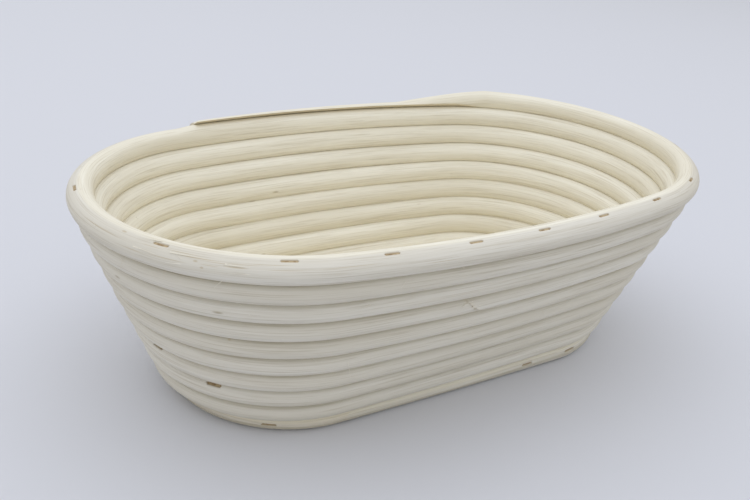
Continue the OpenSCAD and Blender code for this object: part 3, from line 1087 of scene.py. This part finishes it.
def fibre_faces(count):
    """Walls between the steps of each fibre, and a face on both its ends."""
    numbers = np.arange(count), np.arange(FIBRE_STEPS - 1), np.arange(FIBRE_SIDES)
    fibre, step, side = np.meshgrid(*numbers, indexing="ij")
    here = (fibre * FIBRE_STEPS + step) * FIBRE_SIDES
    ahead = here + FIBRE_SIDES
    turned = (side + 1) % FIBRE_SIDES
    walls = np.stack([here + side, here + turned, ahead + turned, ahead + side], -1)
    first = np.arange(count)[:, None] * FIBRE_STEPS * FIBRE_SIDES + np.arange(FIBRE_SIDES)
    last = first + (FIBRE_STEPS - 1) * FIBRE_SIDES
    return np.concatenate([walls.reshape(-1, 4), first[:, ::-1], last])


def fibre_object(name, corners, finish):
    """One mesh of closed tapering tubes, each with its own stretch of the map."""
    count = len(corners)
    faces = fibre_faces(count)
    mesh = bpy.data.meshes.new(name)
    mesh.from_pydata(corners.reshape(-1, 3).tolist(), [], faces.tolist())
    step, side = np.meshgrid(np.arange(FIBRE_STEPS), np.arange(FIBRE_SIDES), indexing="ij")
    on_one = np.stack([step, side], -1).reshape(-1, 2) * MM
    on_all = (on_one + np.arange(count)[:, None, None] * MAP_APART).reshape(-1, 2)
    uv_map = mesh.uv_layers.new(name="length")
    uv_map.data.foreach_set("uv", on_all[faces.ravel()].astype(np.float32).ravel())
    mesh.update()
    piece = put_in_scene(name, mesh)
    piece.data.materials.append(finish)
    return piece


print("faces of one fibre", len(fibre_faces(1)))

# %% [markdown]
# Most hairs are strewn at random over the wall and the rim, short and fine, with their roots
# near the edges of the turns. The longer slivers are set one by one where the real cane has
# split, as chance would hardly put them there: on the rim's front left, on some turns below
# it, and along the splice.

# %% Loose fibres and slivers
FUZZ_COUNT = 200
FUZZ_FROM = BASE_TURNS + 0.6
FUZZ_TO = RIM_END - 0.3
FUZZ_ANGLES = [-40, 42, 60, 118]
FUZZ_ANGLE_SPREAD = 9
FUZZ_HEADING_SPREAD = 0.7
FUZZ_LENGTHS = (1.6, 6.0)
FUZZ_LIFTS = (0.05, 0.3)
FUZZ_CURL = 0.18
FUZZ_WIDTHS = (0.05, 0.09)
# Turns before the top turn's front, degrees on the section, heading in degrees, length in mm,
# lift as a share of it, half width in mm.
SLIVERS = np.array([
    [0.1480, 55, 0, 7.0, 0.06, 0.28],
    [0.1490, 50, 20, 4.5, 0.12, 0.10],
    [0.1480, -12, 225, 4.6, 0.34, 0.15],
    [0.1660, 30, 184, 6.0, 0.06, 0.22],
    [0.1750, 64, 3, 12.0, 0.03, 0.24],
    [0.1330, 24, 178, 8.0, 0.05, 0.24],
    [0.1820, 105, 172, 8.0, 0.07, 0.20],
    [0.1950, 45, 1, 9.0, 0.04, 0.22],
    [3.1590, 63, 200, 4.0, 0.20, 0.10],
    [4.1590, 60, 30, 2.0, 0.30, 0.12],
    [1.0340, 48, 155, 7.0, 0.22, 0.09],
    [1.0600, -25, 20, 6.0, 0.14, 0.09],
    [3.0265, 40, 200, 2.5, 0.20, 0.26],
    [3.0265, 38, 15, 3.0, 0.15, 0.30],
    [3.0220, 15, 10, 3.5, 0.15, 0.30],
    [3.0180, -5, 190, 3.0, 0.15, 0.26],
    [3.0140, -18, 5, 6.0, 0.08, 0.28],
    [3.0120, -24, 8, 8.0, 0.05, 0.26]])


def fuzz(count):
    """Short fine hairs over the outside of the wall and the rim, at random."""
    turn = random.uniform(FUZZ_FROM, FUZZ_TO, count)
    degrees = random.choice(FUZZ_ANGLES, count) + random.normal(0, FUZZ_ANGLE_SPREAD, count)
    heading = random.choice([0, np.pi], count) + random.normal(0, FUZZ_HEADING_SPREAD, count)
    length = random.uniform(*FUZZ_LENGTHS, count) * MM
    lift = random.uniform(*FUZZ_LIFTS, count)
    curl = random.normal(0, FUZZ_CURL, count)
    wide = random.uniform(*FUZZ_WIDTHS, count) * MM
    return lifted(turn, np.radians(degrees), heading, length, lift, curl, wide, wide)


def slivers():
    """Longer splits from their table, half as thick as they are wide, without curl."""
    back, angle, heading, length, lift, wide = SLIVERS.T
    wide = wide * MM
    curl = np.zeros(len(SLIVERS))
    return lifted(TOP_TURN - back, np.radians(angle), np.radians(heading), length * MM, lift, curl,
                  wide, wide / 2)


loose = fibre_object("loose_fibres", np.concatenate([fuzz(FUZZ_COUNT), slivers()]), fibre_grain_painted_light)
print("fibres", len(loose.data.polygons), "faces")

# %% [markdown]
# The basket stands on a plain pale surface that runs out of sight, in even light from all
# round and one very large soft lamp almost straight above, slightly blue. A small lamp would
# draw a hard shadow, and even light alone would leave the turns flat. The surface is a little
# blue too beside the warm cane.

# %% Stage and light
FLOOR_HALF = 6.0
FLOOR_COLOUR = (0.672, 0.677, 0.706, 1)
FLOOR_ROUGHNESS = 0.9
LAMP_PLACE = (-0.1, 0.1, 1.5)
LAMP_AIM = (0, 0, 0.04)
LAMP_SIZE = 2.6
LAMP_POWER = 15.0
LAMP_COLOUR = (0.92, 0.975, 1.12)
SKY_COLOUR = (0.97, 0.98, 1.0, 1)
SKY_STRENGTH = 0.70


def make_floor():
    """One wide square with a dull finish."""
    mesh = bpy.data.meshes.new("floor")
    corners = FLOOR_HALF * np.array([(-1, -1, 0), (1, -1, 0), (1, 1, 0), (-1, 1, 0)])
    mesh.from_pydata(corners.tolist(), [], [(0, 1, 2, 3)])
    floor = bpy.data.objects.new("floor", mesh)
    bpy.context.scene.collection.objects.link(floor)
    material = bpy.data.materials.new("floor")
    material.use_nodes = True
    surface = material.node_tree.nodes["Principled BSDF"]
    surface.inputs["Base Color"].default_value = FLOOR_COLOUR
    surface.inputs["Roughness"].default_value = FLOOR_ROUGHNESS
    mesh.materials.append(material)


def make_lamp():
    """Square area lamp above the basket, a little to the left and back, turned to it."""
    data = bpy.data.lights.new("overhead", "AREA")
    data.size = LAMP_SIZE
    data.energy = LAMP_POWER
    data.color = LAMP_COLOUR
    lamp = bpy.data.objects.new("overhead", data)
    towards = Vector(LAMP_AIM) - Vector(LAMP_PLACE)
    turned = towards.to_track_quat("-Z", "Y").to_matrix().to_4x4()
    lamp.matrix_world = Matrix.Translation(LAMP_PLACE) @ turned
    bpy.context.scene.collection.objects.link(lamp)


def make_world():
    """Even light from all round."""
    world = bpy.data.worlds.new("sky")
    bpy.context.scene.world = world
    world.use_nodes = True
    sky = world.node_tree.nodes["Background"]
    sky.inputs["Color"].default_value = SKY_COLOUR
    sky.inputs["Strength"].default_value = SKY_STRENGTH


make_floor()
make_lamp()
make_world()
bpy.context.scene.view_settings.view_transform = "Standard"
print("lamp", LAMP_POWER, "W, sky", SKY_STRENGTH)
